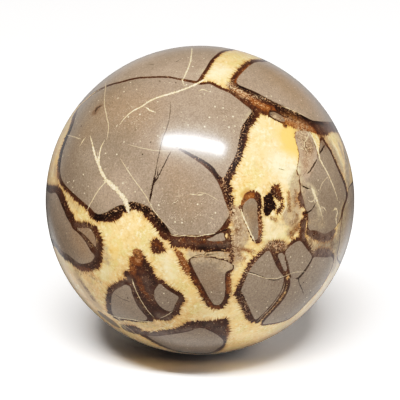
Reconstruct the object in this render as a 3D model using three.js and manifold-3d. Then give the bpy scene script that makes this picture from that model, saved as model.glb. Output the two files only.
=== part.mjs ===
// A septarian sphere: one piece of concretion, ground and polished to a ball about as wide as a large
// orange. Grey-brown limestone, brown aragonite and cream calcite grew together in the one stone, so the
// ball is one solid. The pattern on it is only colour and isn't raised.
// Millimetres, +Z up. The origin is the centre of the small flat that the ball rests on, and the face
// with the broad cream seams looks along -Y.
import * as THREE from "three";
import { mergeVertices } from "three/addons/utils/BufferGeometryUtils.js";
import Module from "manifold-3d";

// Driving dimensions.
const BALL_DIAMETER = 85;
// A lapped spot under the ball keeps it from rolling. It is 0.4 mm deep.
const RESTING_FLAT_DIAMETER = 12;
// Each edge of the icosahedron is cut into this many parts. An even number puts a corner on each axis,
// so the faceted ball measures its full diameter along X and Y.
const EDGE_PARTS = 18;

const BALL_RADIUS = BALL_DIAMETER / 2;
const CENTRE_HEIGHT = Math.sqrt(BALL_RADIUS ** 2 - (RESTING_FLAT_DIAMETER / 2) ** 2);

// The colour and the polish that the stone has from across a room.
const STONE_LOOK = { color: 0xb09a7c, roughness: 0.15, metalness: 0 };

const wasm = await Module();
wasm.setup();

// A closed geometry as a manifold-3d solid, with its shared corners merged.
function solidFrom(geometry) {
  geometry.deleteAttribute("normal");
  geometry.deleteAttribute("uv");
  const merged = mergeVertices(geometry);
  return new wasm.Manifold(
    new wasm.Mesh({
      numProp: 3,
      vertProperties: merged.attributes.position.array,
      triVerts: new Uint32Array(merged.index.array),
    }),
  );
}

// A manifold-3d solid as a geometry.
function geometryFrom(solid) {
  const mesh = solid.getMesh();
  const geometry = new THREE.BufferGeometry();
  geometry.setAttribute("position", new THREE.BufferAttribute(mesh.vertProperties, 3));
  geometry.setIndex(new THREE.BufferAttribute(mesh.triVerts, 1));
  geometry.computeVertexNormals();
  return geometry;
}

// The ball, cut level at z = 0 by the lap plate, which leaves its resting flat.
function polishedBall() {
  const ball = new THREE.IcosahedronGeometry(BALL_RADIUS, EDGE_PARTS - 1);
  ball.translate(0, 0, CENTRE_HEIGHT);
  const lapPlate = new THREE.BoxGeometry(BALL_DIAMETER, BALL_DIAMETER, BALL_RADIUS);
  lapPlate.translate(0, 0, -BALL_RADIUS / 2);
  return geometryFrom(solidFrom(ball).subtract(solidFrom(lapPlate)));
}

const sphere = new THREE.Mesh(polishedBall(), new THREE.MeshStandardMaterial(STONE_LOOK));
sphere.name = "sphere";

const septarianSphere = new THREE.Group();
septarianSphere.add(sphere);

export default septarianSphere;
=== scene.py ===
"""A polished septarian sphere: grey-brown limestone slabs, each in a dark rim of aragonite, with cream
calcite between them. One stone ball, ground from one piece, so all of the pattern is colour and nothing
stands out of it."""

import bpy
import math
import numpy as np
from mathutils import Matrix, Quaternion, Vector


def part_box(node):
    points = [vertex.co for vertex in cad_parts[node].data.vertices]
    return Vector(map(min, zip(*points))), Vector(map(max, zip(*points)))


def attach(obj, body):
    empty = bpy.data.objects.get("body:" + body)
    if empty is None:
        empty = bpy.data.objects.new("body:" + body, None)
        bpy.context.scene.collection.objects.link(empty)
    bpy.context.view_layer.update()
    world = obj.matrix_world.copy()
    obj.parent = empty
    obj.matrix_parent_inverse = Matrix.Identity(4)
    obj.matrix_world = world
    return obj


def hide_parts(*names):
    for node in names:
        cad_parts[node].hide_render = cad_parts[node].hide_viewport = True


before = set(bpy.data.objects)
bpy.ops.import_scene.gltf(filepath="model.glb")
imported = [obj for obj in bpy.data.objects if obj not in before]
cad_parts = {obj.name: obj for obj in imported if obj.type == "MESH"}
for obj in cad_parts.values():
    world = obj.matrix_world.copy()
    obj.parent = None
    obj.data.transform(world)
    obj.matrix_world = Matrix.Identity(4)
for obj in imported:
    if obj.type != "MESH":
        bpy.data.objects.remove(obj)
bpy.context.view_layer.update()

MM = 0.001

# The ball, from the frame, and the millimetres that the pattern is worked out in, from the ball's centre.
ball_low, ball_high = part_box("sphere")
RADIUS = (ball_high.x - ball_low.x) / 2
CENTRE = Vector((0, 0, ball_high.z - RADIUS))
RADIUS_MM = RADIUS / MM

# The photograph's view of the ball. Its pixels are measured from the left and from the top.
PHOTO_SIDE = 400
BALL_MIDDLE_PIXEL = (200.1, 200.2)
BALL_RADIUS_PIXELS = 154.5
CAMERA_DISTANCE = 0.55
CAMERA_ELEVATION = math.radians(18)
RIGHT = np.array((1, 0, 0), float)
TOWARDS = np.array((0, -math.cos(CAMERA_ELEVATION), math.sin(CAMERA_ELEVATION)))
UPWARD = np.cross(TOWARDS, RIGHT)

# The ball's mesh: squares along each edge of the cube that it is blown up from.
SQUARES_A_SIDE = 128

# Limestone slabs on the side that the photograph shows. Each outline goes round its slab in runs of
# (width in millimetres of the brown rim along the run, photo pixels). A pixel outside the ball's outline
# stands for a point as far inside it on the far side.
SLABS = {
    "crown": [
        (0.45, [(80.5, 103.5), (85, 99.8), (90, 95.2), (100, 88.8), (110, 84.3), (120, 81.8), (130, 79),
                (140, 77.2), (150, 76.7), (160, 76.3), (170, 76.6), (180, 78.6), (190, 80), (196.5, 81)]),
        (1.05, [(198.5, 79.5), (200.5, 76.5), (203, 72.5), (205.5, 69), (208, 64.5), (211, 60), (215, 56),
                (219, 52.7), (224, 50.5), (230, 49.5)]),
        (1.6, [(236, 40), (236, 32), (222, 27), (200, 27.5), (165, 30), (130, 44), (100, 65), (84, 82),
               (76, 96)]),
    ],
    "great": [
        (0.45, [(79.5, 107), (85, 101.8), (90, 97.2), (100, 90.6), (110, 86), (120, 83.3), (130, 80.6),
                (140, 78.8), (150, 78.3), (160, 78), (170, 78.4), (180, 80.4), (190, 82.6), (196, 84)]),
        (1.0, [(201, 85), (205, 84.6), (209, 84.2), (213, 85.5), (217, 87.8), (222, 90), (230, 93.5),
               (236, 98), (240, 101), (245, 105), (249, 108)]),
        (2.2, [(251.8, 111.3), (249, 116), (246, 120.5)]),
        (2.1, [(242.3, 126), (240.3, 133), (238.6, 142)]),
        (1.7, [(237.3, 150), (234.5, 158), (230.5, 165)]),
        (2.0, [(227, 172), (223.5, 178)]),
        (0.8, [(219, 175), (214, 168), (206, 161.5), (196, 156), (186, 150.8), (179.5, 148.3),
               (173.5, 146.5), (179.5, 150.5), (185, 153.8), (195, 160), (204, 166.3), (211.5, 173.5)]),
        (2.6, [(217.5, 182), (221.5, 191)]),
        (2.3, [(224.5, 200)]),
        (1.8, [(227.5, 208)]),
        (1.3, [(229.8, 213.5), (228, 217.5), (225, 222), (222, 226.5)]),
        (1.1, [(219, 230), (215, 233.2), (211, 235), (204, 235.5), (196, 235), (188, 235.3),
               (180, 235.3), (172, 234.5)]),
        (2.8, [(168.5, 229), (163.5, 222.5), (158.5, 216.3), (153, 210.8)]),
        (2.1, [(148, 206.5), (140, 203.5), (130.5, 201.6)]),
        (0.2, [(128.3, 203)]),
        (2.0, [(126.5, 204.5), (124, 204.5), (118, 206)]),
        (3.1, [(113, 208.5), (108, 211.5)]),
        (1.9, [(103, 213.5), (99, 214.5), (95, 212.8), (91, 208.5)]),
        (1.3, [(88, 206), (84, 202.5), (78, 197.5), (72, 191.8), (66, 185.8), (61.8, 179)]),
        (2.2, [(60.3, 170), (61.3, 160), (63.5, 150), (67, 140), (71.5, 130), (74.8, 120), (76.8, 113)]),
    ],
    "sliver": [
        (0.25, [(206, 239.3), (212, 237.6), (216, 235.3), (221, 233), (224, 233.5), (224.2, 237.5),
                (226, 240.3), (219, 241.3), (211, 241.2)]),
    ],
    "pennant": [
        (0.12, [(190.5, 259.5), (196, 257.8), (204, 257.4), (212, 258.2), (219, 259.6), (226, 261.5),
                (232, 265), (233, 268.5)]),
        (1.4, [(226, 272.5), (225, 280), (225.3, 290), (224.3, 297.5), (222, 302.5)]),
        (1.6, [(218.3, 305.3), (214, 304.3), (211, 300.5)]),
        (1.7, [(207.5, 295), (204.2, 288.5), (200, 281), (196.5, 274.5), (193, 267.5)]),
    ],
    "kidney": [
        (1.3, [(160.3, 283.8), (165, 288), (170, 291.5), (175, 294.6), (178.7, 297)]),
        (1.8, [(177.8, 300), (175.5, 304), (173.7, 308.5), (171.7, 311.5)]),
        (1.5, [(168, 311.3), (163, 308.8), (159, 305.2), (156, 301), (154.3, 295), (155, 290),
               (157.5, 286.3)]),
    ],
    "leaf": [
        (1.7, [(121.5, 287), (126, 284.8), (130, 287), (131.8, 292.5), (134.3, 299.5), (138.3, 307),
               (143.3, 313.3), (147.3, 318.3)]),
        (0.7, [(146, 320.3), (135, 320.6), (125, 318.8), (117.5, 318.8)]),
        (1.7, [(112.7, 313.8), (111.3, 306), (111.5, 298), (113.5, 292.5), (117, 289.3)]),
    ],
    "left cheek": [
        (2.2, [(51, 193.5), (56, 193.5)]),
        (2.9, [(59, 199), (61.5, 205), (64.5, 212), (67, 218), (70.5, 223.5)]),
        (0.55, [(72.5, 228.3), (77.5, 232.6), (81.8, 237), (85.5, 242), (88.3, 247), (91, 251.5)]),
        (2.6, [(94.5, 256), (92, 261)]),
        (2.3, [(86, 263.7), (80, 263.6), (74, 259.7), (68, 254.7), (63, 251.8), (58, 246), (54, 240)]),
        (1.5, [(46, 240), (34, 228), (29, 208), (33, 190), (44, 186)]),
    ],
    "foot": [
        (2.4, [(148, 336), (156, 336.5), (166, 335.3), (178, 333.7)]),
        (3.2, [(190, 331.3), (197, 328.7), (203, 328.6)]),
        (0.8, [(210, 331.2), (217, 334.8), (221.3, 338.3), (223.6, 341.3), (222.5, 345.3)]),
        (1.6, [(218, 348.5), (213, 351.8), (204, 353.4), (190, 353), (178, 351), (168, 347.7),
               (158, 342.8), (151, 338.8)]),
    ],
    "hock": [
        (1.3, [(267.7, 251), (262, 256), (257, 261), (252, 267), (248.5, 273), (245.5, 280), (243, 286)]),
        (2.2, [(241.3, 290.5), (244.5, 297)]),
        (1.9, [(247.5, 304), (250.5, 310.5), (253.5, 317)]),
        (1.0, [(256, 319.7), (262, 315), (266.7, 310), (272.7, 303), (278.7, 294.7), (282.7, 286.2),
               (283.7, 277.5)]),
        (1.3, [(280, 272), (276.8, 267), (274.5, 262), (272.3, 256.5), (270, 252)]),
    ],
    "lath": [
        (0.5, [(278, 254.5), (281, 253), (283.5, 254.5), (285, 260), (286.5, 266), (287, 270.5),
               (285, 271.5), (282.5, 267), (280, 261)]),
    ],
    "knee": [
        (0.8, [(290, 273), (289.3, 268), (288, 262), (286, 256), (285.5, 252), (287.5, 249)]),
        (1.1, [(292, 245), (297, 241.8), (300, 241), (303.5, 244.5), (307.5, 250), (311, 254.5)]),
        (0.3, [(312, 258), (309, 263.5), (305, 269.5), (301, 274.5), (297, 278), (292, 276.5)]),
    ],
    "hip": [
        (0.3, [(290.5, 277.8), (294, 278.8), (298.5, 279.3), (303, 274.8), (308, 268.3), (311.5, 262),
               (313.7, 257.8)]),
        (1.0, [(320, 257.4), (327, 257.5), (332, 257)]),
        (0.4, [(333, 262.5), (331, 269.5), (327, 277.5), (320.5, 288), (313, 296.5), (305, 305),
               (297, 313)]),
        (0.55, [(289, 318.8), (281, 321.8), (270, 323.8), (263, 324.3)]),
        (1.1, [(266, 319.5), (272, 313), (278.5, 306), (284, 299.3), (288, 292), (290.3, 284.5)]),
    ],
    "tongue": [
        (0.9, [(243, 208), (244.2, 204), (247, 200.8)]),
        (1.9, [(250.5, 198.6), (254, 198.8)]),
        (1.2, [(257, 203.5), (257.2, 212), (258, 222), (258.3, 232), (257.6, 239)]),
        (0.3, [(254.7, 240.3), (250.5, 232.5), (246.8, 224), (244, 216)]),
    ],
    "right cheek": [
        (1.1, [(322.5, 140.5), (326, 146), (329, 150), (332, 156), (334.5, 162), (337.5, 169)]),
        (1.3, [(340.5, 176), (343, 182), (345, 188), (346.2, 194), (345.5, 200), (343.3, 205)]),
        (0.7, [(341.8, 210), (341, 216)]),
        (0.1, [(338.5, 223), (334.5, 228)]),
        (1.4, [(331.5, 230.8), (328, 232.8), (324.5, 233.8), (321.5, 233), (318, 231.3), (314, 230.3),
               (310, 230.4)]),
        (0.2, [(308, 226), (308.5, 220), (308, 214)]),
        (0.3, [(305.5, 208), (304.5, 203), (303, 197), (301, 190), (301, 184), (305, 177), (309, 172),
               (312.5, 167), (316.5, 160.5)]),
        (0.2, [(319, 154.5), (320, 148), (320.5, 142.5)]),
    ],
    "far right": [
        (0.3, [(349, 189), (347.8, 197), (345.3, 205), (343.3, 212), (342.3, 220), (340.5, 232),
               (339.5, 245), (337.5, 256)]),
        (0.8, [(341, 262), (347, 262), (358, 250), (367, 225), (367, 200), (360, 184)]),
    ],
    "shoulder": [
        (1.6, [(238, 84.3), (236.6, 81.3), (238.7, 77), (242, 73), (246, 69), (250, 65.5), (254, 63.2),
               (259, 62), (265, 62.3)]),
        (1.5, [(284, 50), (310, 66), (335, 92), (346, 108), (343, 118)]),
        (3.2, [(332.5, 122.3), (325, 121.8)]),
        (2.8, [(318, 121.3), (312, 120.4), (305, 116.8), (300, 113.7), (290, 109)]),
        (2.2, [(285, 106.7), (280, 104.6)]),
        (1.1, [(275, 102.4), (265, 97.2), (255, 91.8), (245, 87.7)]),
    ],
    "lens": [
        (0.5, [(268.8, 113.6), (272, 111.9), (277.5, 113.6), (283, 117.4), (285.3, 121.4), (281.5, 121.8),
               (276.5, 119.8), (271.8, 117)]),
    ],
    "pebble bed": [
        (0.1, [(296.5, 132.5), (303, 131), (311, 133.5), (313, 140), (315.5, 147), (317.5, 154),
               (316.5, 162), (312, 172), (306, 181), (301, 184), (299.5, 177), (297.5, 170), (299, 161),
               (299.5, 154), (297.5, 146), (295.5, 138)]),
    ],
    "ring fill": [
        (0.2, [(76.5, 228.6), (83, 228.3), (90, 228.8), (93.8, 234), (95.8, 241), (96.3, 247.5),
               (92.6, 244), (88.3, 238.8), (83, 233.6)]),
    ],
    "toe": [
        (0.2, [(98.5, 311.5), (103, 314), (109, 318.2), (115, 322.8), (119.5, 327.5), (114.5, 325.8),
               (109, 321.7), (103, 317)]),
    ],
}

# How light each slab is beside the others: partly its own tone and partly painted light. The crown and the
# shoulder are lighter as if lit from above, and the far right is lighter as a painted reflection at the
# ball's edge. A slab that isn't named is 1.
SLAB_TONES_AND_PAINTED_LIGHT = {
    "crown": 1.17,
    "shoulder": 1.10,
    "pennant": 0.95,
    "lens": 0.62,
    "left cheek": 1.09,
    "leaf": 1.08,
    "tongue": 0.80,
    "toe": 0.80,
    "kidney": 0.92,
    "pebble bed": 1.38,
    "ring fill": 1.0,
    "far right": 1.28,
}

# Brown aragonite that is more than a rim: outlines in photo pixels.
BROWN_PATCHES = {
    "dart": [(138, 249.5), (142, 253), (146, 258), (150, 264), (152.5, 268), (153.5, 272), (157, 277),
             (160.3, 281), (160, 284), (157, 286.5), (155, 290), (154.3, 295), (156, 301), (159, 305.5),
             (164, 309.5), (170, 312), (174, 315), (172, 319.5), (166, 321), (160, 320.5), (154, 319),
             (150, 316), (145, 310), (140.5, 302.5), (136.5, 294.5), (133.5, 287.5), (131.5, 281),
             (130.5, 274), (129.3, 267), (130.3, 261), (133, 255)],
    "waist band": [(168, 236), (176, 237), (186, 237.5), (198, 238), (206, 240.5), (226, 241),
                   (228, 236), (224.5, 232), (226, 228), (230, 229.5), (232, 236), (233, 244),
                   (234, 254), (233.5, 263), (230.5, 262), (229, 253), (222, 250), (212, 251),
                   (203, 251.3), (194, 250.5), (186, 248.3), (178, 247.3), (171, 246)],
    "rust seam": [(230, 82.5), (237, 85.5), (250, 91.5), (265, 99), (280, 106.5), (300, 117), (318, 124),
                  (334, 125), (334, 129.5), (329, 134), (322, 136.5), (315, 133), (304, 130.5),
                  (295, 128.8), (286, 124), (276, 120.5), (266, 116), (258, 112.5), (251, 109),
                  (245, 104), (239, 98.5), (233, 92.5), (228.5, 87.5)],
    "sandy patch": [(266, 250), (268, 244), (273, 240.5), (280, 241), (286, 243), (285, 249),
                    (279, 252), (272, 251)],
    "ankle": [(203, 322), (212, 320.3), (220, 319.6), (227, 318.5), (229.5, 325), (229.5, 332), (227.5, 339),
              (224.5, 344), (222.5, 342), (217, 335.5), (210, 331.5), (204, 328.8)],
    "black crystal": [(263.6, 205), (264, 197.5), (266.5, 195.5), (270, 192), (272, 194.5), (274, 201),
                      (276.3, 205), (275.5, 209), (272, 211.5), (269, 215), (266, 216.2), (264, 213)],
    "red crystal": [(271, 190), (272.3, 185.5), (275, 183.3), (278.3, 185), (280.3, 190), (281.8, 195),
                    (282.5, 199.5), (279.5, 201), (276, 198.5), (273, 195.5)],
    "crescent": [(283.5, 199.5), (284, 204), (282, 209.5), (279, 214), (276.3, 213.5), (278, 208.5),
                 (280.5, 204)],
    "right crystal": [(299, 192.5), (301.5, 193), (303.5, 198), (305.5, 202.5), (307, 206.5),
                      (303.5, 208.5), (300.5, 205.5), (298.5, 199)],
    "toe pad": [(121, 325), (128, 325), (135, 326.5), (141, 329), (142, 333), (137, 334.5),
                (130, 332.5), (124, 329.5)],
    "cheek foot": [(308, 231), (314, 231), (320, 232.5), (324, 234), (330, 232.5), (336, 229.5),
                   (334, 236), (330, 240.5), (322, 241.5), (315, 240), (309, 237)],
    "hip cap": [(313, 256.8), (312, 252.5), (317, 249.5), (324, 248.5), (330, 250), (333, 253.5),
                (330, 256.8)],
    "knot": [(151, 242), (154, 240), (158, 239), (162, 242), (163.5, 247), (166.5, 250), (162, 252.5),
             (157, 253.5), (153, 252), (152, 247)],
    "streak": [(176.5, 250), (180, 252.5), (184, 257.5), (187, 263.5), (189.5, 271), (187, 275),
               (184, 270), (181, 264), (178, 257)],
    "cheek knot": [(303, 212.5), (309, 212), (310, 217), (307, 221.5), (303, 219)],
}

# Brown lines as wide as a rim: half their width in millimetres, and photo pixels along them.
BROWN_BANDS = {
    "ring top": (0.7, [(73, 223.8), (80, 225), (90, 225.2), (95, 229.5)]),
    "ring inner": (0.5, [(76.5, 230), (82.5, 234.8), (87.2, 240), (90.8, 245.5), (93.5, 250.5)]),
    "ring side": (0.95, [(95.3, 229.5), (99, 238), (100.2, 246), (98.8, 254)]),
    "leaf tip": (1.1, [(128, 275), (131, 280)]),
    "bar": (0.95, [(303.5, 222), (303, 229), (302.5, 237), (306, 244), (310, 251)]),
    "lens end": (0.55, [(281.5, 121.5), (285, 125)]),
    "hock seam": (0.9, [(285.5, 282), (282, 292), (276.5, 300.5), (270, 308.5), (263.5, 315),
                        (258.5, 320.5)]),
}

# Thin pale veins: half their width in millimetres at each end, how strongly they show, and photo pixels
# along them.
PALE_VEINS = [
    (0.32, 0.12, 1.0, [(204, 80), (197, 84), (190, 87), (180, 91), (170, 94), (160, 97), (150, 101),
                       (142, 106.5), (135, 110), (128, 115), (121, 123)]),
    (0.58, 0.44, 1.0, [(128.5, 211), (126, 202), (120, 193.5), (112.5, 186), (106, 179.5)]),
    (0.44, 0.12, 1.0, [(106, 179.5), (101.5, 172), (98.5, 164), (95.5, 156), (93.5, 149), (92, 142),
                       (90.5, 137)]),
    (0.28, 0.08, 1.0, [(98.5, 165), (99.5, 155), (101, 148), (104, 142)]),
    (0.10, 0.10, 0.9, [(105.5, 182.5), (98.5, 190.5), (92.5, 200.5), (88, 209)]),
    (0.06, 0.08, 0.8, [(121.5, 160.5), (130.5, 174.5), (140.5, 188.5), (148, 199.5), (154, 211),
                       (161, 219.5)]),
    (0.04, 0.04, 0.45, [(161, 219.5), (168, 226), (176, 232)]),
    (0.10, 0.12, 0.6, [(106, 82), (105.5, 90), (104.5, 98), (104.5, 105.5), (106.5, 115), (108.5, 127),
                       (107.5, 137)]),
    (0.10, 0.10, 0.6, [(68, 135.5), (74, 137), (80, 139)]),
    (0.16, 0.12, 0.9, [(192, 48), (191.5, 55), (190.5, 62), (188, 69), (184.5, 77), (182.5, 80),
                       (184, 85)]),
    (0.07, 0.07, 0.45, [(130, 145), (145, 149), (160, 151), (175, 151)]),
    (0.06, 0.06, 0.5, [(200, 192.5), (207, 194), (213, 197), (216.5, 199.5)]),
    (0.09, 0.09, 0.9, [(191.8, 194.3), (195, 194.6)]),
    (0.07, 0.07, 0.8, [(198.5, 195.3), (201, 195.2)]),
    (0.06, 0.06, 0.5, [(177.5, 196.5), (181, 196.2)]),
    (0.06, 0.06, 0.5, [(210, 218), (213.5, 219.5)]),
    (0.30, 0.22, 1.0, [(311, 134), (314, 140), (317, 147), (318.5, 153), (320, 159), (324, 167)]),
    (0.20, 0.10, 0.9, [(324, 167), (328, 174), (331, 181), (334, 188), (336, 194), (337.5, 199)]),
    (0.50, 0.22, 0.9, [(313, 190.5), (315.5, 196), (317.5, 203)]),
    (0.30, 0.12, 0.5, [(317.5, 203), (320.5, 210), (322.5, 218)]),
    (0.16, 0.10, 0.6, [(315, 199), (311.5, 202), (309, 201)]),
    (0.10, 0.10, 0.6, [(319, 207), (323.5, 207.5), (326, 211)]),
    (0.26, 0.22, 0.9, [(334, 210), (336.5, 209), (337.5, 213), (336, 219), (337, 224)]),
    (0.10, 0.10, 0.7, [(309, 133), (307, 139), (304, 144), (306, 151)]),
    (0.09, 0.09, 0.6, [(300, 148), (305, 150), (310, 147.5)]),
    (0.08, 0.08, 0.6, [(327, 178), (322, 184), (320, 190)]),
    (0.15, 0.15, 0.9, [(147, 108), (150, 110.5), (154, 112)]),
    (0.18, 0.16, 0.9, [(81, 144.5), (84.5, 139)]),
    (0.14, 0.10, 0.9, [(200.5, 90.5), (203, 89.5), (207, 91)]),
    (0.07, 0.09, 0.9, [(173, 235.5), (178, 236.4), (184, 235.6), (190, 236.2), (198, 236.4), (206, 235),
                       (213, 233.8)]),
    (0.11, 0.09, 0.9, [(132.5, 281), (135, 288), (138, 295), (142.5, 303), (147.5, 310.5), (153, 316.5)]),
    (0.11, 0.07, 0.75, [(247, 273), (254, 274.5), (258, 276), (264, 278), (272, 279), (280, 278),
                       (287, 275.5), (295, 272.5), (304, 272)]),
    (0.16, 0.16, 0.9, [(241.5, 211), (244, 218), (247.5, 226), (251, 234), (254.5, 241)]),
    (0.10, 0.10, 0.45, [(284.5, 284), (282, 292), (276.5, 300.5), (270, 308.5), (263.5, 315),
                        (258.5, 320.5)]),
    (0.14, 0.08, 0.8, [(285.6, 200), (286, 206), (284, 212), (281.5, 216)]),
    (0.09, 0.09, 0.8, [(283, 106.5), (290, 109.3), (297, 112.5), (304, 115.8)]),
    (0.12, 0.12, 0.7, [(119, 322.5), (124, 327.5), (130, 333), (138, 337), (147, 342)]),
    (0.14, 0.14, 0.8, [(99.5, 308), (108, 314), (118, 317.5), (130, 319.5), (142, 321.5), (151, 322)]),
    (0.16, 0.16, 0.7, [(118, 318), (124, 325), (131, 330), (140, 337.5), (150, 343)]),
    (0.10, 0.10, 0.8, [(150, 333), (158, 329), (166, 326.5), (174, 322.5)]),
    (0.10, 0.10, 0.6, [(172, 312), (166, 316), (161, 318)]),
]

# Dark hairlines, in the same form.
DARK_LINES = [
    (0.07, 0.12, 0.9, [(170.5, 104), (170.3, 112), (169.2, 120), (166.7, 129), (163.3, 137), (160, 150),
                       (156.7, 167)]),
    (0.12, 0.28, 1.0, [(156.7, 167), (155, 175), (153.3, 183.5), (151.5, 192), (149.8, 202)]),
    (0.10, 0.16, 1.0, [(170.5, 152.5), (165.5, 162.5), (159.2, 175), (153.8, 185)]),
    (0.20, 0.26, 1.0, [(319.5, 154), (322, 150), (324.5, 146)]),
    (0.22, 0.26, 0.9, [(308.5, 173), (313, 167), (316.5, 160.5)]),
    (0.20, 0.20, 1.0, [(303, 186.3), (305.5, 187.6), (308.5, 188.6)]),
    (0.24, 0.12, 1.0, [(304, 213.5), (308, 212.5), (311.5, 210), (314, 206.5), (315.8, 204)]),
    (0.14, 0.24, 1.0, [(213, 235.5), (218, 233.5), (223, 231.3), (228, 229.3)]),
    (0.30, 0.30, 0.8, [(343.8, 151), (345, 156), (346.3, 160.5)]),
    (0.12, 0.10, 1.0, [(298.5, 278.5), (299.5, 284), (302, 289), (303.5, 293.5)]),
    (0.12, 0.12, 1.0, [(247, 271.5), (255, 274), (262, 277), (270, 279.7), (276, 280.3), (284, 277)]),
    (0.10, 0.08, 0.6, [(116, 295), (122, 299), (131, 302)]),
    (0.30, 0.26, 0.8, [(177, 61.5), (179, 60.5)]),
    (0.22, 0.20, 0.7, [(150, 64.5), (152.5, 64.5)]),
    (0.20, 0.20, 1.0, [(281, 169.5), (282.3, 169.8)]),
    (0.22, 0.22, 1.0, [(312.5, 258), (309.5, 264), (305.5, 270), (301.5, 275), (298.5, 278.7)]),
    (0.42, 0.30, 0.7, [(95.5, 112), (97, 108.5), (100.5, 106.5)]),
    (0.14, 0.10, 0.7, [(191, 258.5), (197, 255.5), (204, 255), (212, 257), (220, 259.5), (224, 259)]),
    (0.08, 0.08, 0.5, [(303, 176), (306, 171.5)]),
    (0.10, 0.10, 0.7, [(146.5, 341), (152, 343), (158, 345)]),
    (0.22, 0.24, 0.9, [(268.6, 113), (272, 111.2), (278, 113), (284, 117)]),
    (0.20, 0.22, 0.8, [(268.6, 114), (272, 117.8), (277, 120.6), (282, 122.6)]),
    (0.26, 0.20, 1.0, [(206, 252), (212, 251.2), (218, 250.6), (225, 251.5)]),
    (0.14, 0.12, 0.7, [(301, 139), (304.5, 141.5), (306, 145.5), (303, 149)]),
    (0.10, 0.10, 0.6, [(308, 150), (306, 156), (308, 161)]),
]
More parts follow.
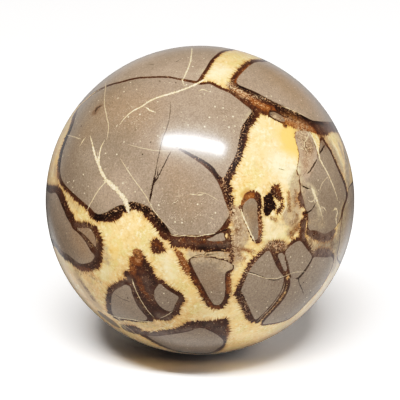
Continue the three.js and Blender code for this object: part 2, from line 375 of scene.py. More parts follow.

# Soft stains: how far they reach in millimetres, how strong they are, and photo pixels along them. Each
# mineral takes up those that its own colour function names. A few of these patches are painted light and
# painted reflection, as noted at them.
STAINS = {
    "rust": [
        (2.2, 0.75, [(256, 103), (264, 107), (272, 110)]),
        (2.0, 0.7, [(270, 113), (282, 119), (292, 124), (304, 127), (314, 131)]),
        (1.8, 0.6, [(236, 90), (246, 96), (254, 101)]),
        (1.5, 0.8, [(243, 203), (247, 198), (252, 196)]),
        (2.4, 1.0, [(137.5, 253), (138, 261)]),
        (2.0, 0.7, [(132, 260), (133, 272)]),
        (1.6, 0.5, [(138, 278), (142, 288), (149, 299)]),
        (1.6, 0.3, [(274, 185), (277, 190), (279, 195)]),
        (1.5, 0.35, [(155, 243), (160, 248)]),
        (1.5, 0.8, [(178, 253), (184, 262), (187, 271)]),
        (1.2, 0.4, [(194, 278), (203, 294), (211, 304)]),
        (1.6, 0.5, [(240, 249), (254, 252)]),
        (1.4, 0.4, [(246, 257), (241, 266)]),
        (1.4, 0.5, [(212, 307), (219, 308)]),
        (1.3, 0.7, [(229, 276), (229.5, 292)]),
        (1.8, 0.5, [(78, 268), (92, 271)]),
        (1.8, 0.3, [(268, 246), (284, 245)]),
        (1.6, 0.4, [(75, 273), (92, 277)]),
        (1.5, 0.35, [(228, 326), (227, 338)]),
        (1.8, 1.0, [(99, 107.5)]),
        (1.5, 0.3, [(176, 241), (190, 242), (206, 242), (222, 242)]),
        (1.2, 0.45, [(259.5, 216), (260.5, 226), (259, 237)]),
        (1.1, 0.8, [(304, 144), (305, 147)]),
        (1.0, 0.6, [(306, 214)]),
        (1.3, 0.55, [(250, 65), (243, 73), (236, 82)]),
        (0.9, 0.35, [(226, 205), (231, 214)]),
    ],
    "dark": [
        (2.4, 1.0, [(250, 113), (245, 123), (241, 134), (239, 146), (236, 158), (230, 168)]),
        (1.8, 0.6, [(226, 178), (228, 190), (231, 203)]),
        (2.4, 0.9, [(151, 209), (158, 217), (166, 227)]),
        (2.6, 0.95, [(98, 217), (110, 213), (120, 208), (133, 204), (146, 208)]),
        (3.0, 1.0, [(265, 201), (270, 196), (272, 204), (267, 212)]),
        (2.0, 0.25, [(98, 248), (97, 258), (92, 264)]),
        (2.0, 0.45, [(60, 204), (67, 218)]),
        (2.4, 0.3, [(147, 264), (152, 276), (150, 292)]),
        (1.6, 0.8, [(202, 247.5), (212, 246), (226, 247)]),
        (1.4, 1.0, [(240, 87), (255, 94), (270, 102), (285, 109), (300, 116), (312, 121), (322, 124)]),
        (1.8, 0.8, [(276, 108), (284, 112), (291, 115)]),
        (1.0, 0.9, [(281, 121.5), (285, 125)]),
        (2.0, 0.3, [(242, 292), (247, 305)]),
        (2.0, 0.3, [(206, 324), (222, 328)]),
        (1.4, 0.8, [(205, 66), (211, 57)]),
        (1.2, 0.5, [(257.5, 203), (258.5, 212)]),
        (2.6, 0.9, [(59, 172), (61, 158), (65, 142), (71, 128)]),
        (1.6, 0.7, [(186, 150.5), (196, 156), (206, 162), (214, 170), (219, 178)]),
    ],
    "mauve": [
        (3.4, 1.0, [(318, 237), (326, 237), (334, 233)]),
        (3.0, 0.9, [(55, 243), (64, 251), (76, 259)]),
        (1.2, 0.5, [(83, 236), (90, 246)]),
        (2.6, 0.85, [(316, 252), (330, 253)]),
        (2.0, 0.3, [(330, 128), (333, 132)]),
        (2.2, 0.8, [(160, 316), (168, 317)]),
        (1.3, 0.7, [(282, 291), (272, 303), (262, 314)]),
        (1.2, 0.5, [(75, 225), (92, 226.5)]),
        (1.7, 0.4, [(176, 242), (200, 243), (226, 245)]),
        (2.4, 0.3, [(146, 280), (151, 298)]),
        (2.6, 0.4, [(209, 325), (222, 330)]),
        (1.8, 0.7, [(150, 335), (164, 333), (178, 331), (196, 328)]),
        (1.5, 0.5, [(135, 300), (142, 309)]),
        (1.6, 0.35, [(180, 298), (175, 308)]),
        (1.8, 0.35, [(95, 240), (97, 252), (90, 262)]),
        (2.2, 0.6, [(308, 234), (316, 236)]),
        (1.4, 0.8, [(301, 197), (304, 206)]),
        (1.3, 0.8, [(304, 224), (304, 238)]),
        (2.4, 0.9, [(124, 328), (140, 332)]),
        (1.4, 0.6, [(260, 228), (259, 238)]),
        (1.6, 0.5, [(113, 296), (118, 288), (129, 279), (134, 290)]),
        (2.0, 0.35, [(318, 127), (330, 130)]),
    ],
    "glitter": [
        (1.8, 0.9, [(250, 113), (244, 124), (240, 136), (238, 148), (235, 158), (229, 168), (224, 180)]),
        (1.8, 0.7, [(224, 184), (228, 198), (233, 208), (230, 220)]),
        (1.8, 1.0, [(230, 84), (240, 92), (252, 100), (262, 106)]),
        (1.5, 0.8, [(262, 98), (280, 106), (298, 114)]),
        (2.0, 0.6, [(286, 119), (298, 125), (312, 129)]),
        (1.5, 0.9, [(257, 203), (259.5, 216), (260, 230), (258, 240)]),
        (1.5, 0.25, [(270, 187), (277, 190), (281, 198)]),
        (1.6, 0.7, [(262, 254), (250, 268), (243, 284), (242, 294), (250, 314)]),
        (1.6, 0.6, [(231, 250), (232, 262)]),
        (2.0, 0.9, [(268, 246), (284, 246)]),
        (1.4, 0.6, [(305, 216), (308, 221)]),
        (1.6, 0.5, [(176, 254), (188, 272)]),
        (2.2, 0.75, [(104, 214), (118, 208), (132, 204), (150, 209), (162, 223)]),
    ],
    "amber": [
        (7.5, 0.75, [(294, 130), (292, 141), (293, 149)]),
        (5.0, 0.3, [(118, 240), (112, 256)]),
        (4.0, 0.2, [(247, 332), (240, 342)]),
        (2.6, 0.7, [(56, 160), (57, 178)]),
        (1.4, 0.9, [(138, 251.5), (136.5, 253)]),
        (0.9, 0.6, [(129, 262), (130, 268)]),
        (1.4, 0.3, [(246, 198), (250, 196.5)]),
    ],
    "milk_and_painted_light": [
        (5.0, 0.9, [(279, 163), (291, 167), (288, 174)]),
        (4.5, 0.6, [(214, 74), (224, 70)]),
        (4.0, 0.3, [(257, 118), (254, 130)]),
        (3.4, 0.45, [(268, 222), (270, 236), (280, 232)]),
        (3.0, 0.5, [(166, 262), (172, 275)]),
        (1.5, 0.2, [(313, 194), (317, 204), (320, 214)]),
        (1.4, 0.35, [(308, 186), (316, 192)]),
        (8.0, 0.15, [(258, 130), (262, 150)]),
        # Partly milky calcite and partly painted light: the cream at the bottom, lighter as if lit.
        (5.0, 0.25, [(208, 312), (232, 314)]),
        (1.2, 0.8, [(310, 239), (313, 248)]),
        (1.0, 1.0, [(212, 254), (216, 253.2), (220, 253.8)]),
        (1.6, 0.7, [(329, 138), (337, 152), (342, 166)]),
        # Painted light: the cream at the bottom, lighter as if lit.
        (3.4, 0.15, [(246, 336), (262, 334)]),
        (1.6, 0.5, [(65, 203), (72, 206)]),
        # Painted reflection: a pale haze at the lower left edge, where the polish mirrors the paper.
        (3.0, 0.4, [(61, 256), (70, 266)]),
        (2.5, 0.4, [(102, 276), (108, 270)]),
    ],
    "murk": [
        (3.6, 0.85, [(237, 214), (243, 230), (240, 244)]),
        (4.2, 1.0, [(196, 254), (214, 254), (230, 260), (227, 264)]),
        (4.4, 1.0, [(298, 182), (297, 192), (296, 206), (290, 216)]),
        (3.0, 0.35, [(274, 226), (284, 222)]),
        (2.6, 0.6, [(340, 146), (343, 156)]),
        (3.6, 0.75, [(326, 139), (334, 152), (341, 168)]),
        (2.4, 0.35, [(122, 322), (150, 326), (166, 325)]),
        (2.2, 0.6, [(298, 229), (292, 228), (289, 233)]),
        (2.8, 0.5, [(104, 248), (107, 262)]),
        (5.0, 1.0, [(344, 212), (341, 232), (339, 248), (334, 266)]),
        (4.0, 0.9, [(337, 130), (344, 146), (347, 166), (348, 184)]),
        (1.6, 0.4, [(330, 282), (312, 306)]),
        (4.0, 1.0, [(320, 245), (334, 244)]),
        (2.6, 0.4, [(312, 222), (324, 224)]),
    ],
    "umber": [
        (1.6, 0.65, [(288.5, 193), (289, 202), (289.5, 210)]),
        (1.4, 0.7, [(272, 218.5), (276, 220.5)]),
        (1.7, 0.95, [(298.5, 226), (295, 230), (291.5, 234.5)]),
        (1.4, 0.6, [(290, 237), (293, 239)]),
        (0.9, 1.0, [(296.8, 215.5)]),
        (1.7, 0.6, [(240, 248.5), (254, 252)]),
        (1.6, 0.5, [(241, 262), (246, 257)]),
        (2.4, 0.6, [(80, 281), (87, 290), (93, 299)]),
        (2.6, 0.45, [(76, 271), (90, 275)]),
        (2.0, 0.4, [(90, 276), (100, 281)]),
        (2.2, 1.0, [(95.5, 111.5), (98.5, 107.5)]),
        (1.6, 0.2, [(104, 250), (106, 258)]),
        (1.6, 0.6, [(296, 191), (295.5, 206)]),
        (1.4, 0.2, [(206, 253), (226, 253)]),
        (2.4, 0.6, [(331, 238), (332, 246)]),
        (2.0, 0.6, [(316, 132), (321, 140), (325, 147)]),
        (2.0, 0.15, [(258, 157), (262, 168)]),
        (1.6, 0.2, [(250, 180), (256, 190)]),
    ],
    "warm_and_painted_reflection": [
        (13, 0.5, [(110, 108), (135, 112)]),
        (8, 0.3, [(88, 130)]),
        (12, 0.6, [(284, 80), (300, 94)]),
        (4, 1.0, [(85, 231), (93, 240)]),
        (2.5, 1.0, [(277, 117)]),
        (6, 0.6, [(78, 238), (84, 250)]),
        (4, 0.6, [(307, 152), (305, 166)]),
        (5, 0.4, [(345, 215), (344, 235)]),
        (7, 0.4, [(212, 280)]),
        (5, 0.7, [(251, 215)]),
        (7, 0.3, [(160, 140), (190, 205)]),
        # Painted reflection: the lower left edge is warmer, as where the polish mirrors the shadow on the
        # paper.
        (5, 1.0, [(96, 312), (112, 324), (130, 334)]),
    ],
    "sparkle": [
        (4.0, 1.0, [(129, 109), (137, 115), (141, 130)]),
        (7.0, 0.5, [(118, 128), (150, 112), (150, 130)]),
        (9.0, 0.9, [(165, 205), (190, 208), (212, 218)]),
        (5.0, 0.5, [(118, 180), (135, 185)]),
        (5.0, 0.8, [(192, 55), (199, 73), (205, 88)]),
        (5.0, 0.6, [(222, 122), (229, 127)]),
        (5.0, 0.5, [(285, 88), (300, 108)]),
        (4.0, 0.6, [(288, 262), (296, 270)]),
        (3.0, 0.6, [(190, 337), (198, 343)]),
    ],
    "grit": [
        (4.2, 1.0, [(303, 136), (307, 146)]),
        (3.6, 0.3, [(308, 158), (305, 168)]),
        (1.8, 0.9, [(236, 247), (240, 258)]),
        (2.2, 0.5, [(268, 245), (284, 246)]),
        (1.6, 0.6, [(292, 224), (298, 220)]),
        (1.8, 0.8, [(230, 85), (236, 90), (246, 96)]),
        (1.2, 0.5, [(248, 95), (262, 99)]),
        (1.4, 0.3, [(286, 118), (296, 122), (310, 128)]),
        (2.6, 0.8, [(235, 212), (238, 225), (236, 242)]),
        (1.2, 0.6, [(274, 116.5), (280, 118.8)]),
        (1.6, 0.7, [(310, 240), (314, 250)]),
    ],
    "ochre": [
        (4.0, 0.95, [(78, 278), (87, 293), (97, 305)]),
        (3.0, 0.4, [(92, 277), (90, 285)]),
        (2.0, 0.8, [(55, 168), (57, 182)]),
        (2.4, 0.2, [(252, 338), (266, 334)]),
        (2.6, 0.4, [(292, 204), (290, 216)]),
        (2.4, 0.6, [(293, 230), (299, 224)]),
        (2.0, 0.6, [(70, 200), (78, 209)]),
        (2.4, 0.6, [(322, 138), (330, 140)]),
        (2.6, 0.15, [(258, 156), (256, 168)]),
        (1.0, 0.8, [(243.5, 214), (247, 224)]),
    ],
}

# The attributes that carry the stains to the material, three in each.
STAIN_GROUPS = {
    "brown_stains": ("rust", "dark", "mauve"),
    "calcite_stains": ("amber", "milk_and_painted_light", "murk"),
    "stone_stains": ("warm_and_painted_reflection", "grit", "ochre"),
    "small_stains": ("umber", "glitter", "sparkle"),
}

# Where the limestone and the calcite are a little lighter, and where a little darker, in the same form:
# partly the stone's own tone and partly painted light and shade, as noted at those lines.
FAIR = [
    (9, 0.8, [(106, 196), (118, 192)]),
    # Painted light: the top left edge of the crown, lighter as if lit from above.
    (12, 1.0, [(112, 70), (136, 62)]),
    (8, 0.2, [(222, 112), (232, 116)]),
    # Painted light: the cream at the bottom, lighter as if lit.
    (9, 0.9, [(232, 320), (262, 334)]),
    (8, 0.4, [(130, 224), (116, 238)]),
    (8, 0.2, [(80, 284), (92, 302)]),
]
DIM = [
    (12, 0.4, [(70, 132), (64, 160), (70, 182)]),
    (9, 0.4, [(104, 138), (118, 142)]),
    # Painted shade: the right cheek, darker as if shaded.
    (5, 0.3, [(318, 190), (330, 200)]),
    (5, 1.0, [(326, 244), (338, 246)]),
]
SHADE_SWING = 0.25

# The hidden side, where the slabs are cells round seeds that a spiral sets out. It starts this far round
# from the camera's direction, and the shown side ends a little short of that.
HIDDEN_SEED = 7
HIDDEN_SLABS = 13
HIDDEN_FROM = math.radians(97)
SHOWN_TO = math.radians(86)
HIDDEN_TONES = (0.84, 1.06)
# In millimetres: how far a seed strays, the gap to the shown slabs, and the width of the brown rims. The
# cells differ in size by a weight, in square millimetres.
SEED_STRAY = 4.5
SLAB_GAP = 2.4
HIDDEN_RIM = 1.6
CELL_WEIGHT = 90
# Half the width of a narrow seam and of a wide one, in millimetres. A random number from 0 to 1, raised to
# a power and multiplied, says how far each seam goes from narrow to wide, and a few go past wide.
NARROW_SEAM = 0.35
WIDE_SEAM = 4.0
SEAM_POWER = 1.8
SEAM_GAIN = 1.5
# Its veins and hairlines: how many are tried, half the width of the widest in millimetres, and the seed.
HIDDEN_PALE_VEINS = (16, 0.34, 21)
HIDDEN_DARK_LINES = (7, 0.16, 22)
# How high a slow wave has to rise before each stain begins there, the wave's size in millimetres, and the
# first of the seeds. Two of the stains keep to the seams.
HIDDEN_STAINS = {"rust": 0.55, "dark": 0.2, "amber": 0.4, "milk_and_painted_light": 0.5, "murk": 0.75, "warm_and_painted_reflection": 0.3,
                 "ochre": 0.7, "sparkle": 0.3, "umber": 0.7, "glitter": 0.3}
HIDDEN_STAIN_SIZE = 26
HIDDEN_STAIN_SEED = 30
SEAM_STAINS = ("milk_and_painted_light", "murk")
# Brown aragonite round the resting flat, this far out from its middle: painted shade on the hidden underside,
# which darkens the shadow under the ball.
FOOT_BROWN_AND_SHADE = 14.5

# How far from a line it is still measured, the longest straight step along one, and how far from a vein
# it is measured, in millimetres.
REACH = 9.0
STEP = 0.4
VEIN_REACH = 2.5
VERTICES_AT_ONCE = 4000


def on_ball(pixels):
    """Points of the ball behind photo pixels, in millimetres from its centre."""
    offset = (np.array(pixels, float) - BALL_MIDDLE_PIXEL) / BALL_RADIUS_PIXELS * (1, -1)
    out = np.maximum(np.hypot(*offset.T), 1e-9)
    folded = np.where(out > 1, 2 - out, out)
    far_off = CAMERA_DISTANCE / MM
    slope = folded * math.tan(math.asin(RADIUS_MM / far_off))
    bend = 1 + slope**2
    root = np.sqrt(np.maximum(far_off**2 - bend * (far_off**2 - RADIUS_MM**2), 0))
    along = (far_off + np.where(out > 1, root, -root)) / bend
    across = offset / out[:, None] * (slope * along)[:, None]
    points = across[:, :1] * RIGHT + across[:, 1:] * UPWARD + (far_off - along)[:, None] * TOWARDS
    return onto_surface(points)


def onto_surface(points):
    """Points pushed out or in to the ball's surface."""
    return points * (RADIUS_MM / np.linalg.norm(points, axis=1))[:, None]


def smooth_line(points, values, closed):
    """A rounded line through points of the ball, in short steps, with values that change evenly along it."""
    if len(points) == 1:
        points = np.vstack([points, points + 0.01])
        values = np.repeat(values, 2)
    ring = np.arange(-1, len(points) + 2)
    ring = ring % len(points) if closed else ring.clip(0, len(points) - 1)
    pads, worth = points[ring], values[ring]
    gaps = np.maximum(np.linalg.norm(np.diff(pads, axis=0), axis=1), 1e-6) ** 0.5
    line, level = [], []
    for i in range(1, len(points) + (1 if closed else 0)):
        before, gap, after = gaps[i - 1 : i + 2]
        here, there = pads[i], pads[i + 1]
        chord = there - here
        leave = (chord / gap * before + (here - pads[i - 1]) / before * gap) / (before + gap)
        arrive = ((pads[i + 2] - there) / after * gap + chord / gap * after) / (gap + after)
        t = np.linspace(0, 1, max(2, math.ceil(gap**2 / STEP)), endpoint=False)[:, None]
        line.append(
            (2 * t**3 - 3 * t**2 + 1) * here + (3 * t**2 - 2 * t**3) * there
            + ((t**3 - 2 * t**2 + t) * leave + (t**3 - t**2) * arrive) * gap
        )
        level.append(worth[i] + (worth[i + 1] - worth[i]) * t[:, 0])
    line.append(points[:1] if closed else points[-1:])
    level.append(values[:1] if closed else values[-1:])
    return onto_surface(np.vstack(line)), np.concatenate(level)


def plain_line(pixels, closed):
    """The same through photo pixels, with nothing that changes along it."""
    return smooth_line(on_ball(pixels), np.zeros(len(pixels)), closed)[0]


def nearby(line, spots, reach):
    """The spots within reach of a line's own ball of space, a few thousand at a time."""
    middle = (line.min(0) + line.max(0)) / 2
    around = np.linalg.norm(line - middle, axis=1).max() + reach
    found = np.flatnonzero(np.linalg.norm(spots - middle, axis=1) < around)
    return np.array_split(found, max(1, math.ceil(len(found) / VERTICES_AT_ONCE)))


def offsets(line, spots):
    """How far each spot is from each step of a line, and how far along the step its nearest point lies."""
    step = np.diff(line, axis=0)
    length = np.maximum((step**2).sum(1), 1e-12)
    lead = spots @ step.T - (line[:-1] * step).sum(1)
    share = (lead / length).clip(0, 1)
    apart = (spots**2).sum(1)[:, None] - 2 * spots @ line[:-1].T + (line[:-1] ** 2).sum(1)
    return np.sqrt(np.maximum(apart - 2 * share * lead + share**2 * length, 0)), share


def step_point(line, share, pick):
    """The point of a line that is nearest to each spot, on the step picked for it."""
    part = share[np.arange(len(pick)), pick][:, None]
    return line[pick] + (line[pick + 1] - line[pick]) * part


def flattened(points):
    """The ball drawn on a plane from its farthest point, for telling inside from outside."""
    depth = RADIUS_MM + points @ TOWARDS
    return np.stack([points @ RIGHT, points @ UPWARD], 1) / np.maximum(depth, 1e-3)[:, None]


def enclosed(loop, spots):
    """Whether each spot lies inside a closed line."""
    (x0, y0), (x1, y1) = flattened(loop[:-1]).T, flattened(loop[1:]).T
    x, y = flattened(spots).T[:, :, None]
    spans = (y0 > y) != (y1 > y)
    cuts = x < x0 + (y - y0) * (x1 - x0) / np.where(y1 == y0, 1e-12, y1 - y0)
    return (spans & cuts).sum(1) % 2 == 1


def ripple(spots, size, seed):
    """A smooth seeded wave over the ball, from about -1 to 1, with bumps of a size in millimetres."""
    rng = np.random.default_rng(seed)
    ways = rng.normal(size=(9, 3))
    ways *= (math.tau / size * rng.uniform(0.6, 1.3, 9) / np.linalg.norm(ways, axis=1))[:, None]
    return np.sin(spots @ ways.T + rng.uniform(0, math.tau, 9)).sum(1) / 3


def spiral_seeds(rng):
    """Points spread evenly over the hidden side by a golden spiral, each moved a little."""
    turn = math.pi * (3 - math.sqrt(5))
    count = np.arange(HIDDEN_SLABS)
    depth = 1 - (count + 0.5) / HIDDEN_SLABS * (1 + math.cos(HIDDEN_FROM))
    flat = np.sqrt(1 - depth**2)
    across = (flat * np.cos(count * turn))[:, None] * RIGHT
    upwards = (flat * np.sin(count * turn))[:, None] * UPWARD
    seeds = onto_surface((across + upwards) * RADIUS_MM - depth[:, None] * RADIUS_MM * TOWARDS)
    return onto_surface(seeds + rng.normal(size=seeds.shape) * SEED_STRAY)


class Pattern:
    """What is known of the pattern at each spot: millimetres outside the nearest slab, millimetres past the
    brown round it, the point of the slab's edge that this is measured from, and the slab's lightness, which
    is partly painted light."""

    def __init__(self, spots):
        self.spots = spots
        self.edge = np.full(len(spots), REACH)
        self.past_rim = np.full(len(spots), REACH)
        self.foot = spots.copy()
        self.tone = np.ones(len(spots))

    def lower(self, some, past, foot):
        """Takes a smaller distance past the brown, with the point that it is measured from."""
        closer = past < self.past_rim[some]
        self.past_rim[some[closer]] = past[closer]
        self.foot[some[closer]] = foot[closer]

    def add_shown_slabs(self):
        for name, runs in SLABS.items():
            pixels = [pixel for rim, run in runs for pixel in run]
            rims = np.array([rim for rim, run in runs for pixel in run])
            loop, rims = smooth_line(on_ball(pixels), rims, True)
            for some in nearby(loop, self.spots, REACH):
                apart, share = offsets(loop, self.spots[some])
                within = enclosed(loop, self.spots[some])
                past = apart - rims[:-1] - (rims[1:] - rims[:-1]) * share
                pick = past.argmin(1)
                foot = step_point(loop, share, pick)
                nearest = np.where(within, -1, 1) * apart.min(1)
                self.edge[some] = np.minimum(self.edge[some], nearest)
                self.lower(some, np.where(within, -REACH - apart.min(1), past.min(1)), foot)
                self.tone[some[within]] = SLAB_TONES_AND_PAINTED_LIGHT.get(name, 1)

    def add_brown_patches(self):
        for pixels in BROWN_PATCHES.values():
            loop = plain_line(pixels, True)
            for some in nearby(loop, self.spots, REACH):
                apart, share = offsets(loop, self.spots[some])
                pick = apart.argmin(1)
                signed = np.where(enclosed(loop, self.spots[some]), -1, 1) * apart.min(1)
                self.lower(some, signed, step_point(loop, share, pick))
        for half_width, pixels in BROWN_BANDS.values():
            line = plain_line(pixels, False)
            for some in nearby(line, self.spots, REACH):
                apart, share = offsets(line, self.spots[some])
                pick = apart.argmin(1)
                self.lower(some, apart.min(1) - half_width, step_point(line, share, pick))

    def add_hidden_slabs(self):
        """Cells round the hidden side's seeds, kept off the shown side and a little way from its slabs."""
        rng = np.random.default_rng(HIDDEN_SEED)
        seeds = spiral_seeds(rng)
        weights = rng.uniform(-CELL_WEIGHT, CELL_WEIGHT, HIDDEN_SLABS)
        chances = rng.random((HIDDEN_SLABS, HIDDEN_SLABS))
        between = ((chances + chances.T) / 2) ** SEAM_POWER * SEAM_GAIN
        seams = NARROW_SEAM + (WIDE_SEAM - NARROW_SEAM) * between
        tones = rng.uniform(*HIDDEN_TONES, HIDDEN_SLABS)
        spots = self.spots
        sway = [ripple(spots, 24, k) * 2.0 + ripple(spots, 8, k + 3) * 0.5 for k in (1, 2, 3)]
        power = (((spots + np.stack(sway, 1))[:, None] - seeds) ** 2).sum(2) - weights
        row = np.arange(len(spots))
        own = power.argmin(1)
        spread = np.linalg.norm(seeds[:, None] - seeds, axis=2)
        np.fill_diagonal(spread, 1)
        inset = (power - power[row, own][:, None]) / (2 * spread[own])
        wide = seams[own] * (1 + 0.3 * ripple(spots, 15, 11))[:, None]
        into = np.where(np.arange(HIDDEN_SLABS) == own[:, None], -np.inf, wide - inset)
        other = into.argmax(1)
        edge = into[row, other]
        away = (seeds[other] - seeds[own]) / spread[own, other][:, None]
        angle = np.arccos((spots @ TOWARDS / RADIUS_MM).clip(-1, 1))
        border = (SHOWN_TO - angle) * RADIUS_MM + ripple(spots, 16, 12) * 2.5 + 3
        gap = SLAB_GAP + ripple(spots, 14, 13) * 1.2 - self.edge
        foot = spots - edge[:, None] * away
        foot = np.where((border > edge)[:, None], spots - border[:, None] * TOWARDS, foot)
        foot = np.where((gap > np.maximum(edge, border))[:, None], self.foot, foot)
        edge = np.maximum(edge, np.maximum(border, gap))
        past = edge - HIDDEN_RIM - 0.5 * ripple(spots, 10, 14)
        # The brown round the resting flat is painted shade, to darken the shadow under the ball.
        from_flat = np.arccos((-spots[:, 2] / RADIUS_MM).clip(-1, 1)) * RADIUS_MM
        below = from_flat - FOOT_BROWN_AND_SHADE - ripple(spots, 12, 15)
        edge = np.maximum(edge, -below)
        past = np.minimum(past, below)
        self.tone = np.where(edge < 0, tones[own], self.tone)
        self.edge = np.minimum(self.edge, edge)
        self.lower(row, np.where(edge < 0, -REACH, past), foot)


def stain(spots, patches):
    """How strongly each spot is stained, from 0 to 1."""
    strength = np.zeros(len(spots))
    for reach, most, pixels in patches:
        line = plain_line(pixels, False)
        for some in nearby(line, spots, reach):
            left = (1 - offsets(line, spots[some])[0].min(1) / reach).clip(0, 1)
            strength[some] = np.maximum(strength[some], most * left * left * (3 - 2 * left) * 1.4)
    return strength.clip(0, 1)


def hidden_stain(spots, size, seed, low):
    """A seeded stain for the side that the photograph doesn't show."""
    hidden = ((-(spots @ TOWARDS) / RADIUS_MM + 0.02) * 8).clip(0, 1)
    return ((ripple(spots, size, seed) - low) * 2).clip(0, 1) * hidden


def vein_lines(spots, veins):
    """For each spot: millimetres to the left of the nearest vein, to the vein itself, and half its width.
    Then how strongly that vein shows."""
    across = np.full(len(spots), REACH)
    apart = np.full(len(spots), REACH)
    half = np.full(len(spots), 0.01)
    shows = np.zeros(len(spots))
    for line, widths, strength in veins:
        step = np.diff(line, axis=0)
        side = np.cross(line[:-1], step)
        side /= np.maximum(np.linalg.norm(side, axis=1), 1e-9)[:, None]
        for some in nearby(line, spots, VEIN_REACH):
            away, share = offsets(line, spots[some])
            pick = away.argmin(1)
            row = np.arange(len(some))
            nearest = away[row, pick]
            width = widths[pick] + (widths[pick + 1] - widths[pick]) * share[row, pick]
            level = ((spots[some] - line[pick]) * side[pick]).sum(1)
            closer = nearest - width < apart[some] - half[some]
            shown = np.full(len(some), strength)
            for whole, part in ((across, level), (apart, nearest), (half, width), (shows, shown)):
                whole[some[closer]] = part[closer]
    return np.stack([across, apart, half], 1), shows


def drawn_veins(veins):
    """Veins given by photo pixels, as lines on the ball that taper towards both ends."""
    made = []
    for first, last, strength, pixels in veins:
        line, share = smooth_line(on_ball(pixels), np.linspace(0, 1, len(pixels)), False)
        taper = np.minimum(1, 0.35 + 6 * np.minimum(share, 1 - share))
        made.append((line, (first + (last - first) * share) * taper, strength))
    return made


def wandering_veins(count, widest, seed):
    """Seeded veins over the hidden side, each a great circle that strays."""
    rng = np.random.default_rng(seed)
    made = []
    for _ in range(count):
        start = rng.normal(size=3) - 1.3 * TOWARDS
        start /= np.linalg.norm(start)
        way = np.cross(start, rng.normal(size=3))
        way /= np.linalg.norm(way)
        bow = rng.uniform(-0.25, 0.25)
        turns = np.linspace(0, rng.uniform(0.25, 0.7), 6)
        rise = np.cross(start, way)
        stray = bow * turns**2 + rng.normal(size=6) * 0.02
        points = np.cos(turns)[:, None] * start + np.sin(turns)[:, None] * way + stray[:, None] * rise
        width = widest * rng.uniform(0.3, 1)
        strength = rng.uniform(0.6, 1)
        if (points @ TOWARDS).max() < 0:
            line, share = smooth_line(onto_surface(points * RADIUS_MM), np.linspace(0, 1, 6), False)
            taper = np.minimum(1, 6 * np.minimum(share, 1 - share))
            made.append((line, width * (1 - 0.6 * share) * taper, strength))
    return made


def all_stains(spots, in_seam):
    """How strongly each stain shows at each spot, with those of the hidden side."""
    stains = {name: stain(spots, patches) for name, patches in STAINS.items()}
    for seed, (name, low) in enumerate(HIDDEN_STAINS.items(), HIDDEN_STAIN_SEED):
        more = hidden_stain(spots, HIDDEN_STAIN_SIZE, seed, low)
        if name in SEAM_STAINS:
            more = more * in_seam
        stains[name] = np.maximum(stains[name], more)
    return stains


def vertex_spots(mesh):
    """The mesh's vertices in millimetres from the ball's centre, with the flat's put back on the ball."""
    places = np.empty(len(mesh.vertices) * 3)
    mesh.vertices.foreach_get("co", places)
    return onto_surface((places.reshape(-1, 3) - CENTRE) / MM)


def write_pattern(mesh):
    """Works the pattern out at the ball's vertices and writes it on the mesh as attributes."""
    spots = vertex_spots(mesh)
    pattern = Pattern(spots)
    pattern.add_shown_slabs()
    pattern.add_brown_patches()
    pattern.add_hidden_slabs()
    pale, pale_shows = vein_lines(spots, drawn_veins(PALE_VEINS) + wandering_veins(*HIDDEN_PALE_VEINS))
    dark, dark_shows = vein_lines(spots, drawn_veins(DARK_LINES) + wandering_veins(*HIDDEN_DARK_LINES))
    stains = all_stains(spots, pattern.edge > 0)
    # Lighter and darker places: partly the stone's own tone and partly painted light and shade.
    shade = 1 + SHADE_SWING * (stain(spots, FAIR) - stain(spots, DIM))
    numbers = {
        "slab_edge": pattern.edge,
        "rim_edge": pattern.past_rim.clip(-REACH, REACH),
        "tone_and_painted_light": pattern.tone * shade,
        "pale_shows": pale_shows,
        "dark_shows": dark_shows,
    }
    triples = {"rim_foot": pattern.foot, "pale_vein": pale, "dark_line": dark}
    for name, group in STAIN_GROUPS.items():
        triples[name] = np.stack([stains[part] for part in group], 1)
    for name, values in numbers.items():
        mesh.attributes.new(name, "FLOAT", "POINT").data.foreach_set("value", values.astype(np.float32))
    for name, values in triples.items():
        attribute = mesh.attributes.new(name, "FLOAT_VECTOR", "POINT")
        attribute.data.foreach_set("vector", values.astype(np.float32).ravel())


